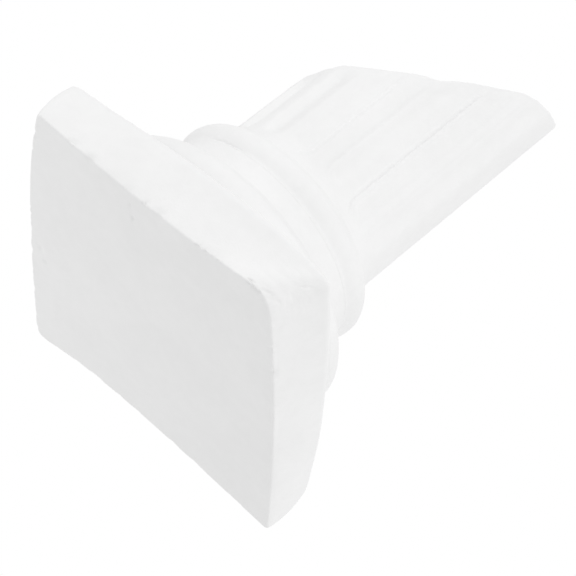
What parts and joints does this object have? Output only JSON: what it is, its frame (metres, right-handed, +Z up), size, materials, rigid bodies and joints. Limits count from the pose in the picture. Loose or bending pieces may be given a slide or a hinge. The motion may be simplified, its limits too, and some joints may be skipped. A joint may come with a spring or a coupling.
{
  "type": "roman column",
  "caption": "Short white plaster column stub: bowed square plinth, round base mouldings and a fluted shaft broken off on a slant, free standing on its flat underside.",
  "frame": {"origin": "middle of the plinth's flat underside; the column's axis stands 0.75 mm from it towards +X", "axes": "+Z up, along the column's axis; +X and +Y square to the plinth's sides, with the worn corner of the plinth towards +X and -Y"},
  "size_m": [0.1102, 0.1182, 0.1505],
  "materials": {
    "plaster": "matte cast plaster",
    "bedding": "matte plaster bed",
    "timber": "bare wood"
  },
  "bodies": {
    "root": {"plinth": "plaster", "lower_torus": "plaster", "scotia": "plaster", "upper_torus": "plaster", "fluted_shaft": "plaster", "torus_bed": "bedding", "scotia_bed": "bedding", "ring_bed": "bedding", "shaft_bed": "bedding", "core_dowel": "timber", "torus_pins": "timber", "shaft_pins": "timber"}
  },
  "joints": []
}
